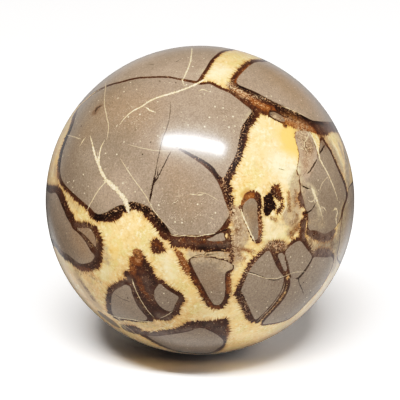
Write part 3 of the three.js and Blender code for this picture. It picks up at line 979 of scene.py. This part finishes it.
class NodeMaker:
    """Short calls that add nodes to a tree and link them."""

    def __init__(self, tree):
        self.tree = tree
        self.place = None

    def add(self, kind, **settings):
        node = self.tree.nodes.new(kind)
        for name, value in settings.items():
            setattr(node, name, value)
        return node

    def feed(self, socket, value):
        if isinstance(value, bpy.types.NodeSocket):
            self.tree.links.new(value, socket)
        else:
            socket.default_value = value

    def maths(self, operation, *values, clamp=False):
        node = self.add("ShaderNodeMath", operation=operation, use_clamp=clamp)
        for socket, value in zip(node.inputs, values):
            self.feed(socket, value)
        return node.outputs[0]

    def times(self, *values):
        """Numbers multiplied together and kept from 0 to 1."""
        product = values[0]
        for value in values[1:]:
            product = self.maths("MULTIPLY", product, value, clamp=True)
        return product

    def vector(self, operation, value):
        node = self.add("ShaderNodeVectorMath", operation=operation)
        self.feed(node.inputs[0], value)
        return node.outputs[0]

    def scaled(self, vector, factor):
        node = self.add("ShaderNodeVectorMath", operation="SCALE")
        self.feed(node.inputs[0], vector)
        self.feed(node.inputs["Scale"], factor)
        return node.outputs[0]

    def rise(self, value, low, high, start=0.0, end=1.0):
        """A smooth step from start to end as value goes from low to high."""
        node = self.add("ShaderNodeMapRange", interpolation_type="SMOOTHSTEP")
        for socket, given in zip(node.inputs, (value, low, high, start, end)):
            self.feed(socket, given)
        return node.outputs[0]

    def mix(self, share, first, second):
        node = self.add("ShaderNodeMix", data_type="RGBA")
        for socket, given in zip((node.inputs[0], node.inputs[6], node.inputs[7]), (share, first, second)):
            self.feed(socket, given)
        return node.outputs[2]

    def noise(self, size, detail=3.0, roughness=0.5, shift=0.0, place=None):
        """Noise from about 0.25 to 0.75 with lumps of a size in millimetres."""
        node = self.add("ShaderNodeTexNoise", noise_dimensions="4D")
        self.feed(node.inputs["Vector"], place or self.place)
        for name, value in {"W": shift, "Scale": 1 / size, "Detail": detail, "Roughness": roughness}.items():
            node.inputs[name].default_value = value
        return node.outputs["Fac"]

    def swing(self, amount, *noise_settings, **more):
        """Noise about zero, which seldom goes past the amount either way."""
        centred = self.maths("SUBTRACT", self.noise(*noise_settings, **more), 0.5)
        return self.maths("MULTIPLY", centred, self.maths("MULTIPLY", amount, 4.0))

    def cells(self, size, output="Distance", feature="F1"):
        """Voronoi cells of a size in millimetres."""
        node = self.add("ShaderNodeTexVoronoi", feature=feature)
        self.feed(node.inputs["Vector"], self.place)
        node.inputs["Scale"].default_value = 1 / size
        return node.outputs[output]

    def speckle(self, size, rarity, share):
        """Specks in a few of the cells of a Voronoi pattern: those whose random number is over rarity."""
        dot = self.rise(self.cells(size), share * 0.5, share, 1.0, 0.0)
        chosen = self.maths("GREATER_THAN", self.split(self.cells(size, "Color"))[0], rarity)
        return self.maths("MULTIPLY", dot, chosen)

    def split(self, vector):
        node = self.add("ShaderNodeSeparateXYZ")
        self.feed(node.inputs[0], vector)
        return node.outputs

    def attribute(self, name, output="Fac"):
        return self.add("ShaderNodeAttribute", attribute_name=name).outputs[output]


# Colours of the three minerals and their stains, in linear light.
LIMESTONE = (0.280, 0.210, 0.149, 1)
LIMESTONE_LIGHT = (0.335, 0.256, 0.187, 1)
LIMESTONE_DARK = (0.212, 0.154, 0.104, 1)
LIMESTONE_WARM = (0.305, 0.192, 0.108, 1)
DARK_SPECK = (0.050, 0.030, 0.018, 1)
LIGHT_SPECK = (0.820, 0.690, 0.480, 1)
GRIT = (0.340, 0.232, 0.140, 1)
GRIT_DARK = (0.130, 0.050, 0.020, 1)
GRIT_LIGHT = (0.650, 0.470, 0.290, 1)
ARAGONITE_BLACK = (0.0100, 0.0042, 0.0034, 1)
ARAGONITE = (0.052, 0.0210, 0.0115, 1)
ARAGONITE_RED = (0.112, 0.0410, 0.0175, 1)
RUST = (0.190, 0.062, 0.0145, 1)
SAND = (0.400, 0.200, 0.088, 1)
GLINT = (0.560, 0.340, 0.190, 1)
MAUVE = (0.170, 0.110, 0.080, 1)
FRINGE = (0.420, 0.190, 0.058, 1)
CALCITE = (0.860, 0.520, 0.195, 1)
CALCITE_PALE = (0.900, 0.600, 0.275, 1)
CALCITE_DEEP = (0.640, 0.305, 0.082, 1)
CALCITE_GREEN = (0.740, 0.550, 0.200, 1)
AMBER = (0.880, 0.500, 0.135, 1)
MILK = (0.920, 0.750, 0.420, 1)
MURK = (0.420, 0.315, 0.200, 1)
MURK_DARK = (0.260, 0.182, 0.110, 1)
OCHRE = (0.530, 0.345, 0.155, 1)
UMBER = (0.160, 0.084, 0.042, 1)
VEIN = (0.720, 0.540, 0.300, 1)
VEIN_LIGHT = (0.900, 0.760, 0.520, 1)
HAIRLINE = (0.032, 0.0160, 0.0100, 1)

# The finish: slightly uneven stone under a clear, glossy polish.
ROUGHNESS = (0.28, 0.36)
BUMP_STRENGTH = 0.25
BUMP_DEPTH = 0.05 * MM
POLISH = {"IOR": 1.5, "Specular IOR Level": 0.25, "Coat Weight": 1.0, "Coat Roughness": 0.15, "Coat IOR": 1.5}


def limestone_colour(n, stains):
    """Fine-grained grey-brown stone: soft clouds, grain, and clusters of small light and dark specks."""
    cloud = n.rise(n.noise(14, 4, 0.55, shift=1), 0.32, 0.68)
    colour = n.mix(0.6, n.mix(cloud, LIMESTONE_DARK, LIMESTONE_LIGHT), LIMESTONE)
    # A warmer tint, which at the lower left edge is a painted reflection of the shadow on the paper.
    colour = n.mix(n.times(stains["warm_and_painted_reflection"], 0.8), colour, LIMESTONE_WARM)
    for size, strength, shift in ((2.0, 0.45, 38), (0.45, 0.75, 2)):
        grain = n.noise(size, 4, 0.75, shift=shift)
        colour = n.mix(n.times(n.rise(grain, 0.50, 0.70), strength), colour, LIMESTONE_DARK)
        colour = n.mix(n.times(n.rise(grain, 0.50, 0.30), strength), colour, LIMESTONE_LIGHT)
    fine = n.rise(n.noise(0.42, 3, 0.8, shift=47), 0.30, 0.70, 0.78, 1.22)
    # The tone is partly painted light: some slabs are lighter as if lit from above or at the ball's edge.
    colour = n.scaled(colour, n.maths("MULTIPLY", fine, n.attribute("tone_and_painted_light")))
    colour = n.mix(n.times(n.speckle(2.1, 0.94, 0.15), 0.9), colour, DARK_SPECK)
    sparkle = stains["sparkle"]
    bright = n.maths("MAXIMUM", n.rise(n.noise(9, 3, 0.6, shift=16), 0.42, 0.62, 0.25, 1.0), sparkle)
    flock = n.rise(n.noise(2.2, 2, 0.6, shift=39), 0.47, 0.60)
    crumbs = n.maths("ADD", n.noise(0.27, 2, 0.7, shift=40), n.maths("MULTIPLY", sparkle, 0.045))
    colour = n.mix(n.times(n.rise(crumbs, 0.645, 0.70), flock, bright), colour, LIGHT_SPECK)
    colour = n.mix(n.times(n.speckle(1.5, 0.50, 0.17), bright), colour, LIGHT_SPECK)
    smeared = n.rise(n.noise(0.8, 4, 0.7, shift=52), 0.34, 0.56)
    colour = n.mix(n.times(stains["umber"], smeared, 0.75), colour, UMBER)
    colour = n.mix(murky(n, stains), colour, murk_colour(n))
    # This pale stain is in places painted light.
    milky = n.rise(n.noise(1.5, 4, 0.6, shift=17), 0.35, 0.6)
    colour = n.mix(n.times(stains["milk_and_painted_light"], milky, 0.9), colour, MILK)
    return n.mix(stains["grit"], colour, grit_colour(n))


def murky(n, stains):
    """Where the stone is clouded grey-green, with patchy edges."""
    uneven = n.maths("ADD", n.swing(0.25, 2.6, 3, 0.6, shift=8), n.swing(0.40, 0.8, 4, 0.75, shift=33))
    return n.times(n.rise(n.maths("ADD", stains["murk"], uneven), 0.05, 1.05), 0.95)


def murk_colour(n):
    colour = n.mix(n.rise(n.noise(0.9, 4, 0.75, shift=42), 0.44, 0.62), MURK, MURK_DARK)
    return n.mix(n.times(n.rise(n.noise(0.5, 4, 0.8, shift=55), 0.54, 0.64), 0.55), colour, CALCITE_PALE)


def grit_colour(n):
    """A bed of crushed grains, with rusty and pale films between them."""
    grain = n.rise(n.noise(0.6, 4, 0.75, shift=10), 0.35, 0.65)
    colour = n.mix(n.times(grain, 0.5), GRIT, LIMESTONE_DARK)
    film = n.rise(n.cells(1.1, "Distance", "DISTANCE_TO_EDGE"), 0.02, 0.15, 1.0, 0.0)
    rusty = n.rise(n.noise(3.2, 3, 0.6, shift=18), 0.46, 0.58)
    pale = n.rise(n.noise(0.5, 3, 0.8, shift=34), 0.44, 0.56)
    colour = n.mix(n.times(film, pale), colour, GRIT_LIGHT)
    broken = n.rise(n.noise(0.55, 3, 0.7, shift=19), 0.44, 0.54)
    return n.mix(n.times(rusty, broken, 0.9), colour, GRIT_DARK)


def aragonite_colour(n, stains, past_rim):
    """Brown crystals: nearly black in places, redder or rusty in others, with glints of pale crystal."""
    lumps = n.rise(n.noise(1.3, 5, 0.75, shift=3), 0.40, 0.66)
    colour = n.mix(n.times(lumps, 0.8), ARAGONITE, ARAGONITE_RED)
    outer = n.rise(past_rim, -1.0, 0.1)
    reddened = n.rise(n.noise(4, 3, 0.6, shift=4), 0.45, 0.65)
    colour = n.mix(n.times(outer, reddened, 0.6), colour, ARAGONITE_RED)
    burnt = n.rise(n.noise(0.8, 4, 0.75, shift=20), 0.30, 0.60, 0.55, 1.0)
    colour = n.mix(n.times(stains["dark"], burnt), colour, ARAGONITE_BLACK)
    colour = n.mix(n.times(stains["mauve"], n.rise(n.noise(1.6, 4, 0.7, shift=21), 0.3, 0.6)), colour, MAUVE)
    clots = n.rise(n.maths("ADD", stains["rust"], n.swing(0.5, 0.8, 4, 0.75, shift=5)), 0.2, 0.8)
    colour = n.mix(clots, colour, RUST)
    sandy = n.rise(n.maths("ADD", stains["rust"], n.swing(0.55, 0.5, 4, 0.75, shift=22)), 0.9, 1.2)
    colour = n.mix(sandy, colour, SAND)
    sooty = n.rise(n.noise(1.2, 5, 0.75, shift=35), 0.50, 0.58)
    colour = n.mix(n.times(sooty, stains["rust"], 0.9), colour, ARAGONITE)
    glitter = stains["glitter"]
    worn = n.rise(n.noise(0.7, 4, 0.75, shift=48), 0.4, 0.6)
    thin = n.times(stains["amber"], n.maths("SUBTRACT", 1.0, glitter), worn)
    colour = n.mix(n.times(thin, 0.9), colour, FRINGE)
    glint = n.maths("ADD", n.noise(0.42, 3, 0.8, shift=23), n.maths("MULTIPLY", glitter, 0.06))
    share = n.maths("MAXIMUM", n.rise(n.noise(3, 2, 0.5, shift=24), 0.35, 0.6, 0.2, 1.0), glitter)
    colour = n.mix(n.times(n.rise(glint, 0.585, 0.65), share, 0.9), colour, GLINT)
    gritty = n.rise(n.noise(0.5, 3, 0.8, shift=36), 0.50, 0.56)
    return n.mix(n.times(stains["grit"], gritty, 0.95), colour, GRIT_LIGHT)


def calcite_colour(n, stains, past_rim, hairy):
    """Cream crystal: cloudy, sugary in places, finely bladed beside the brown, with its stains."""
    cloud = n.rise(n.noise(6, 4, 0.6, shift=6), 0.34, 0.66)
    colour = n.mix(cloud, CALCITE, CALCITE_PALE)
    colour = n.mix(n.rise(n.noise(2.2, 5, 0.75, shift=7), 0.47, 0.68), colour, CALCITE_DEEP)
    colour = n.mix(n.times(n.rise(n.noise(4, 4, 0.65, shift=49), 0.47, 0.58), 0.85), colour, CALCITE_GREEN)
    lit = n.rise(n.noise(1.6, 4, 0.7, shift=51), 0.52, 0.64)
    colour = n.mix(n.times(lit, 0.85), colour, MILK)
    facet = n.split(n.cells(1.1, "Color"))[1]
    colour = n.mix(n.times(facet, 0.35), colour, CALCITE_PALE)
    clear = n.times(*(n.maths("SUBTRACT", 1.0, stains[name]) for name in ("amber", "milk_and_painted_light")))
    sugar = n.noise(0.6, 4, 0.8, shift=25)
    sugary = n.rise(n.noise(4, 3, 0.6, shift=50), 0.40, 0.58, 0.15, 0.9)
    colour = n.mix(n.times(n.rise(sugar, 0.50, 0.64), clear, sugary), colour, CALCITE_DEEP)
    colour = n.mix(n.times(n.rise(sugar, 0.48, 0.34), sugary, 0.9), colour, MILK)
    blades = n.noise(0.34, 3, 0.7, shift=26, place=n.attribute("rim_foot", "Vector"))
    beside = n.rise(past_rim, 0.0, 2.2, 1.0, 0.0)
    colour = n.mix(n.times(beside, n.rise(blades, 0.5, 0.62), 0.7), colour, MILK)
    colour = n.mix(n.times(beside, n.rise(blades, 0.48, 0.36), 0.7), colour, CALCITE_DEEP)
    amber = n.rise(n.maths("ADD", stains["amber"], n.swing(0.25, 2.0, 4, 0.65, shift=27)), 0.1, 0.9)
    colour = n.mix(n.times(amber, 0.95), colour, AMBER)
    # This pale stain is partly painted light: the cream at the bottom lighter as if lit, and a painted
    # reflection at the lower left edge.
    milky = n.times(stains["milk_and_painted_light"], n.rise(n.noise(1.6, 4, 0.7, shift=56), 0.34, 0.56, 0.45, 1.0))
    colour = n.mix(milky, colour, MILK)
    colour = n.mix(murky(n, stains), colour, murk_colour(n))
    patchy = n.maths("ADD", n.swing(0.25, 2.0, 3, 0.6, shift=37), n.swing(0.45, 0.7, 4, 0.75, shift=28))
    colour = n.mix(n.times(n.rise(n.maths("ADD", stains["ochre"], patchy), 0.1, 1.1), 0.9), colour, OCHRE)
    smoky = n.maths("ADD", n.swing(0.35, 1.4, 4, 0.7, shift=43), n.swing(0.5, 0.5, 4, 0.8, shift=44))
    strokes = n.rise(n.noise(0.38, 4, 0.8, shift=53), 0.36, 0.54, 0.35, 1.0)
    smoke = n.mix(n.rise(n.noise(0.6, 4, 0.8, shift=54), 0.40, 0.62), UMBER, RUST)
    smoked = n.rise(n.maths("ADD", stains["umber"], smoky), 0.30, 1.05)
    colour = n.mix(n.times(smoked, strokes), colour, smoke)
    hairs = n.swing(0.9, 0.22, 2, 0.7, shift=41, place=n.attribute("rim_foot", "Vector"))
    fringe = n.rise(n.maths("ADD", past_rim, hairs), 0.0, 0.9, 1.0, 0.0)
    colour = n.mix(n.times(fringe, hairy, 0.6), colour, FRINGE)
    broken = n.rise(n.maths("ADD", stains["rust"], n.swing(0.45, 0.8, 4, 0.75, shift=9)), 0.55, 0.8)
    colour = n.mix(broken, colour, n.mix(n.rise(n.noise(0.7, 3, 0.7, shift=29), 0.4, 0.6), RUST, SAND))
    return n.mix(n.times(stains["grit"], 0.9), colour, grit_colour(n))


def line_mask(n, name, shows, softness):
    """Where a vein runs, from how far to its side each place is, with its ends closed and its body uneven."""
    across, apart, half = n.split(n.attribute(name, "Vector"))
    off = n.maths("ABSOLUTE", n.maths("ADD", across, n.swing(0.09, 1.6, 3, 0.6, shift=12)))
    uneven = n.maths("ADD", half, n.maths("MULTIPLY", half, n.swing(1.2, 0.6, 4, 0.8, shift=30)))
    inner = n.maths("MAXIMUM", n.maths("SUBTRACT", uneven, softness), 0.0)
    body = n.rise(off, inner, n.maths("ADD", uneven, softness), 1.0, 0.0)
    close = n.rise(n.maths("SUBTRACT", apart, half), 0.45, 0.7, 1.0, 0.0)
    return n.times(body, close, n.attribute(shows))


def ragged_rim(n, stains):
    """How far past the brown each place is, with crystals that stick out of it as fine needles, and how hairy
    the rim is there, from 0 to 1."""
    past_rim = n.attribute("rim_edge")
    wide = n.maths("SUBTRACT", n.attribute("slab_edge"), past_rim)
    hairy = n.times(n.rise(wide, 0.1, 1.6, 0.15, 1.0), n.rise(stains["dark"], 0.2, 1.0, 1.0, 0.45))
    needles = n.swing(0.64, 0.26, 1, 0.6, shift=31, place=n.attribute("rim_foot", "Vector"))
    clumps = n.swing(0.18, 1.6, 3, 0.6, shift=32)
    crumbs = n.swing(0.26, 0.36, 4, 0.8, shift=13)
    jag = n.maths("ADD", n.maths("ADD", needles, clumps), crumbs)
    return n.maths("ADD", past_rim, n.maths("MULTIPLY", jag, hairy)), hairy


def stone_material():
    """The whole stone: limestone, aragonite and calcite where the ball's attributes put them."""
    material = bpy.data.materials.new("septarian_stone")
    material.use_nodes = True
    n = NodeMaker(material.node_tree)
    n.place = n.scaled(n.add("ShaderNodeTexCoord").outputs["Object"], 1 / MM)
    stains = {}
    for name, group in STAIN_GROUPS.items():
        stains.update(zip(group, n.split(n.attribute(name, "Vector"))))
    past_rim, hairy = ragged_rim(n, stains)
    past_slab = n.maths("ADD", n.attribute("slab_edge"), n.swing(0.09, 0.7, 4, 0.8, shift=14))
    brown = aragonite_colour(n, stains, past_rim)
    # The cream takes the same tone, which paints it lighter in places as if lit.
    cream = n.scaled(calcite_colour(n, stains, past_rim, hairy), n.attribute("tone_and_painted_light"))
    seam = n.mix(n.rise(past_rim, -0.10, 0.16), brown, cream)
    colour = n.mix(n.rise(past_slab, -0.10, 0.10), limestone_colour(n, stains), seam)
    colour = n.mix(line_mask(n, "dark_line", "dark_shows", 0.05), colour, HAIRLINE)
    crystal = n.mix(n.rise(n.noise(0.4, 3, 0.8, shift=45), 0.46, 0.58), VEIN, VEIN_LIGHT)
    colour = n.mix(line_mask(n, "pale_vein", "pale_shows", 0.05), colour, crystal)
    shader = material.node_tree.nodes["Principled BSDF"]
    n.feed(shader.inputs["Base Color"], colour)
    n.feed(shader.inputs["Roughness"], n.rise(n.noise(5, 3, 0.5, shift=15), 0.2, 0.8, *ROUGHNESS))
    bump = n.add("ShaderNodeBump")
    bump.inputs["Strength"].default_value = BUMP_STRENGTH
    bump.inputs["Distance"].default_value = BUMP_DEPTH
    n.feed(bump.inputs["Height"], n.noise(0.5, 4, 0.7, shift=46))
    n.feed(shader.inputs["Normal"], bump.outputs[0])
    for name, value in POLISH.items():
        shader.inputs[name].default_value = value
    return material


def ball_tree(material):
    """Geometry nodes that blow a cube of fine squares up into the ball and lap its resting flat."""
    tree = bpy.data.node_groups.new("polished_ball", "GeometryNodeTree")
    for name, kind in (("Squares a side", "NodeSocketInt"), ("Radius", "NodeSocketFloat"),
                       ("Centre height", "NodeSocketFloat")):
        tree.interface.new_socket(name, in_out="INPUT", socket_type=kind)
    tree.interface.new_socket("Ball", in_out="OUTPUT", socket_type="NodeSocketGeometry")
    n = NodeMaker(tree)
    given = n.add("NodeGroupInput").outputs
    cube = n.add("GeometryNodeMeshCube")
    cube.inputs["Size"].default_value = (2, 2, 2)
    points = n.maths("ADD", given["Squares a side"], 1)
    for way in "XYZ":
        n.feed(cube.inputs["Vertices " + way], points)
    # A tangent evens out the squares, which would otherwise be small at the cube's corners.
    even = n.vector("TANGENT", n.scaled(n.add("GeometryNodeInputPosition").outputs[0], math.pi / 4))
    x, y, z = n.split(n.scaled(n.vector("NORMALIZE", even), given["Radius"]))
    lapped = n.maths("MAXIMUM", n.maths("ADD", z, given["Centre height"]), 0)
    place = n.add("ShaderNodeCombineXYZ")
    for socket, value in zip(place.inputs, (x, y, lapped)):
        n.feed(socket, value)
    shape = cube.outputs["Mesh"]
    for kind, settings in (
        ("GeometryNodeSetPosition", {"Position": place.outputs[0]}),
        ("GeometryNodeSetShadeSmooth", {}),
        ("GeometryNodeRealizeInstances", {}),
        ("GeometryNodeSetMaterial", {"Material": material}),
    ):
        node = n.add(kind)
        n.feed(node.inputs["Geometry"], shape)
        for name, value in settings.items():
            n.feed(node.inputs[name], value)
        shape = node.outputs[0]
    n.feed(n.add("NodeGroupOutput").inputs["Ball"], shape)
    return tree


# How much of its cell of the UV map each side of the ball fills.
SIDE_FILL = 0.98


def lay_out_sides(mesh):
    """A UV map with the ball's six sides side by side, three across and two up, each with a narrow margin."""
    corners = np.empty(len(mesh.loops), np.int32)
    mesh.loops.foreach_get("vertex_index", corners)
    spots = vertex_spots(mesh)[corners].reshape(-1, 4, 3)
    middle = spots.mean(1)
    axis = np.abs(middle).argmax(1)
    row = np.arange(len(middle))
    ahead = middle[row, axis] > 0
    main = np.abs(spots[row, :, axis])
    angles = [np.arctan(spots[row, :, (axis + k) % 3] / main) / (math.pi / 2) for k in (1, 2)]
    across = (axis[:, None] + angles[0] * SIDE_FILL + 0.5) / 3
    up = (ahead[:, None] + angles[1] * SIDE_FILL + 0.5) / 2
    layer = mesh.uv_layers.new(name="OFBake")
    layer.data.foreach_set("uv", np.stack([across, up], 2).astype(np.float32).ravel())


def septarian_sphere():
    """The ball as a plain mesh, with its pattern written on it."""
    holder = bpy.data.objects.new("ball_holder", bpy.data.meshes.new("ball_holder"))
    bpy.context.scene.collection.objects.link(holder)
    modifier = holder.modifiers.new("polished_ball", "NODES")
    modifier.node_group = ball_tree(stone_material())
    values = {"Squares a side": SQUARES_A_SIDE, "Radius": RADIUS, "Centre height": CENTRE.z}
    for item in modifier.node_group.interface.items_tree:
        if item.name in values:
            modifier[item.identifier] = values[item.name]
    shape = holder.evaluated_get(bpy.context.evaluated_depsgraph_get())
    mesh = bpy.data.meshes.new_from_object(shape)
    bpy.data.objects.remove(holder)
    write_pattern(mesh)
    lay_out_sides(mesh)
    ball = bpy.data.objects.new("septarian_ball", mesh)
    bpy.context.scene.collection.objects.link(ball)
    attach(ball, "root")
    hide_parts("sphere")


def camera():
    """The photograph's camera: square to the ball's middle, from a little above."""
    data = bpy.data.cameras.new("camera")
    data.sensor_width = 36
    half_view = math.tan(math.asin(RADIUS / CAMERA_DISTANCE)) * (PHOTO_SIDE / 2) / BALL_RADIUS_PIXELS
    data.lens = data.sensor_width / 2 / half_view
    made = bpy.data.objects.new("camera", data)
    bpy.context.scene.collection.objects.link(made)
    made.location = CENTRE + Vector(TOWARDS) * CAMERA_DISTANCE
    made.rotation_euler = Vector(TOWARDS).to_track_quat("Z", "Y").to_euler()
    bpy.context.scene.camera = made


# The studio: a long softbox above and a little to the left, tipped to the right, as its reflection on the
# ball shows, a weak panel at the right, and another behind, for the side that the photograph doesn't show.
LIGHT_DISTANCE = 1.6
SOFTBOX_SIZE = (1.2, 0.232)
SOFTBOX_WAY = (math.radians(-8), math.radians(59.2))
SOFTBOX_TIP = math.radians(-5)
SOFTBOX_POWER = 42.0
PANEL_SIZE = (1.6, 1.28)
PANEL_WAY = (math.radians(80), math.radians(20))
PANEL_POWER = 8.4
BACK_PANEL_SIZE = (1.6, 0.8)
BACK_PANEL_WAY = (math.radians(160), math.radians(20))
BACK_PANEL_POWER = 5.1
ROOM_STRENGTH = 0.014
# What the polish mirrors: a pale wall behind the ball and the paper round it. Each pair says where a thing
# begins to show and where it shows in full, by how far a direction goes to the right, away from the camera
# or upwards, from -1 to 1. The wall is twice as bright at the left.
WALL_STRENGTH = 0.38
WALL_FOOT = (-0.35, -0.1)
WALL_HEAD = (0.45, 0.0)
WALL_BEHIND = (0.5, 0.9)
WALL_LEFT = (-0.5, -0.85)
# The paper behind the ball, and how much brighter it is at the left.
FAR_STRENGTH = 0.36
FAR_LEFT_STRENGTH = 0.34
FAR_LEFT = (0.2, -0.2)
FAR_SIDES = (0.72, 0.4)
FAR_HEAD = (-0.25, -0.42)
FAR_FOOT = (-0.66, -0.5)
FAR_BEHIND = (0.3, 0.6)
# The paper in front of the ball, and how much brighter it is further back.
NEAR_STRENGTH = 0.25
NEAR_BACK_STRENGTH = 0.25
NEAR_BACK = (0.05, 0.35)
NEAR_HEAD = (-0.25, -0.5)
NEAR_RIGHT = (-0.2, 0.2)
NEAR_FOOT = (-0.45, -0.65)
# The ball's own shade on the paper, a little to the left.
SHADE_STRENGTH = 0.88
SHADE_MIDDLE = -0.06
SHADE_SIDES = (0.42, 0.15)
SHADE_FOOT = (-0.92, -0.82)
FLOOR_SIDE = 8
# The paper under the ball: how much light it sends back to the stone, and how bright it looks to the camera,
# which is exposed for the stone and not for the paper.
PAPER = (0.67, 0.67, 0.67, 1)
PAPER_SEEN = (1.28, 1.25, 1.22, 1)
# How the photograph shows light: (light, brightness) pairs, with darker shadows and softer highlights.
TONE = [(0.0, 0.0), (0.03, 0.016), (0.10, 0.082), (0.30, 0.315), (0.60, 0.62), (1.0, 0.87), (1.2, 0.965),
        (1.33, 1.0)]


def flat_light(name, way, tip, size, power):
    """An area light aimed at the ball, at an angle to the right and one above the floor, tipped about its own
    middle. Only the softbox shows in the polish."""
    data = bpy.data.lights.new(name, "AREA")
    data.shape = "RECTANGLE"
    data.size, data.size_y = size
    data.energy = power
    lamp = bpy.data.objects.new(name, data)
    bpy.context.scene.collection.objects.link(lamp)
    right, above = way
    way = Vector((math.sin(right) * math.cos(above), -math.cos(right) * math.cos(above), math.sin(above)))
    lamp.location = CENTRE + way * LIGHT_DISTANCE
    lamp.rotation_euler = (way.to_track_quat("Z", "Y") @ Quaternion((0, 0, 1), tip)).to_euler()
    return lamp


def room():
    """Dim even light, with the wall and the paper that the polish mirrors in place of the floor itself."""
    world = bpy.data.worlds.new("room")
    world.use_nodes = True
    n = NodeMaker(world.node_tree)
    side, behind, up = n.split(n.add("ShaderNodeTexCoord").outputs["Generated"])
    wall = n.times(n.rise(up, *WALL_FOOT), n.rise(up, *WALL_HEAD), n.rise(behind, *WALL_BEHIND))
    wall = n.times(wall, WALL_STRENGTH, n.maths("ADD", n.rise(side, *WALL_LEFT), 1.0))
    far = n.maths("ADD", n.times(n.rise(side, *FAR_LEFT), FAR_LEFT_STRENGTH), FAR_STRENGTH)
    far = n.times(far, n.rise(n.maths("ABSOLUTE", side), *FAR_SIDES), n.rise(up, *FAR_HEAD))
    far = n.times(far, n.rise(up, *FAR_FOOT), n.rise(behind, *FAR_BEHIND))
    near = n.maths("ADD", n.times(n.rise(behind, *NEAR_BACK), NEAR_BACK_STRENGTH), NEAR_STRENGTH)
    near = n.times(near, n.rise(up, *NEAR_HEAD))
    near = n.times(near, n.maths("MAXIMUM", n.rise(side, *NEAR_RIGHT), n.rise(up, *NEAR_FOOT)))
    beneath = n.maths("ABSOLUTE", n.maths("SUBTRACT", side, SHADE_MIDDLE))
    shade = n.times(n.rise(beneath, *SHADE_SIDES), n.rise(up, *SHADE_FOOT), SHADE_STRENGTH)
    paper = n.maths("MULTIPLY", n.maths("ADD", far, near), n.maths("SUBTRACT", 1.0, shade))
    background = world.node_tree.nodes["Background"]
    background.inputs["Color"].default_value = (1, 1, 1, 1)
    strength = n.maths("ADD", n.maths("ADD", wall, paper), ROOM_STRENGTH)
    n.feed(background.inputs["Strength"], strength)
    bpy.context.scene.world = world


def paper_material():
    """Plain white paper, seen brighter than it lights the stone."""
    material = bpy.data.materials.new("floor_paper")
    material.use_nodes = True
    tree = material.node_tree
    tree.nodes.remove(tree.nodes["Principled BSDF"])
    plain = tree.nodes.new("ShaderNodeBsdfDiffuse")
    plain.inputs["Color"].default_value = PAPER
    seen = tree.nodes.new("ShaderNodeBsdfDiffuse")
    seen.inputs["Color"].default_value = PAPER_SEEN
    chosen = tree.nodes.new("ShaderNodeMixShader")
    tree.links.new(tree.nodes.new("ShaderNodeLightPath").outputs["Is Camera Ray"], chosen.inputs[0])
    tree.links.new(plain.outputs[0], chosen.inputs[1])
    tree.links.new(seen.outputs[0], chosen.inputs[2])
    tree.links.new(chosen.outputs[0], tree.nodes["Material Output"].inputs["Surface"])
    return material


def photograph_tone():
    """The photograph's contrast, as a curve from light to brightness."""
    view = bpy.context.scene.view_settings
    view.view_transform = "Standard"
    view.use_curve_mapping = True
    most = TONE[-1][0]
    curves = view.curve_mapping
    curves.white_level = (most, most, most)
    points = curves.curves[3].points
    points[0].location = TONE[0]
    points[1].location = (1, TONE[-1][1])
    for light, brightness in TONE[1:-1]:
        points.new(light / most, brightness)
    curves.update()


def studio():
    """The floor and the lights."""
    room()
    flat_light("softbox", SOFTBOX_WAY, SOFTBOX_TIP, SOFTBOX_SIZE, SOFTBOX_POWER)
    for panel in (flat_light("panel", PANEL_WAY, 0, PANEL_SIZE, PANEL_POWER),
                  flat_light("back_panel", BACK_PANEL_WAY, 0, BACK_PANEL_SIZE, BACK_PANEL_POWER)):
        panel.visible_glossy = False
        panel.visible_camera = False
    bpy.ops.mesh.primitive_plane_add(size=FLOOR_SIDE)
    floor = bpy.context.object
    floor.name = "floor"
    floor.visible_glossy = False
    floor.data.materials.append(paper_material())
    photograph_tone()


camera()
studio()
septarian_sphere()
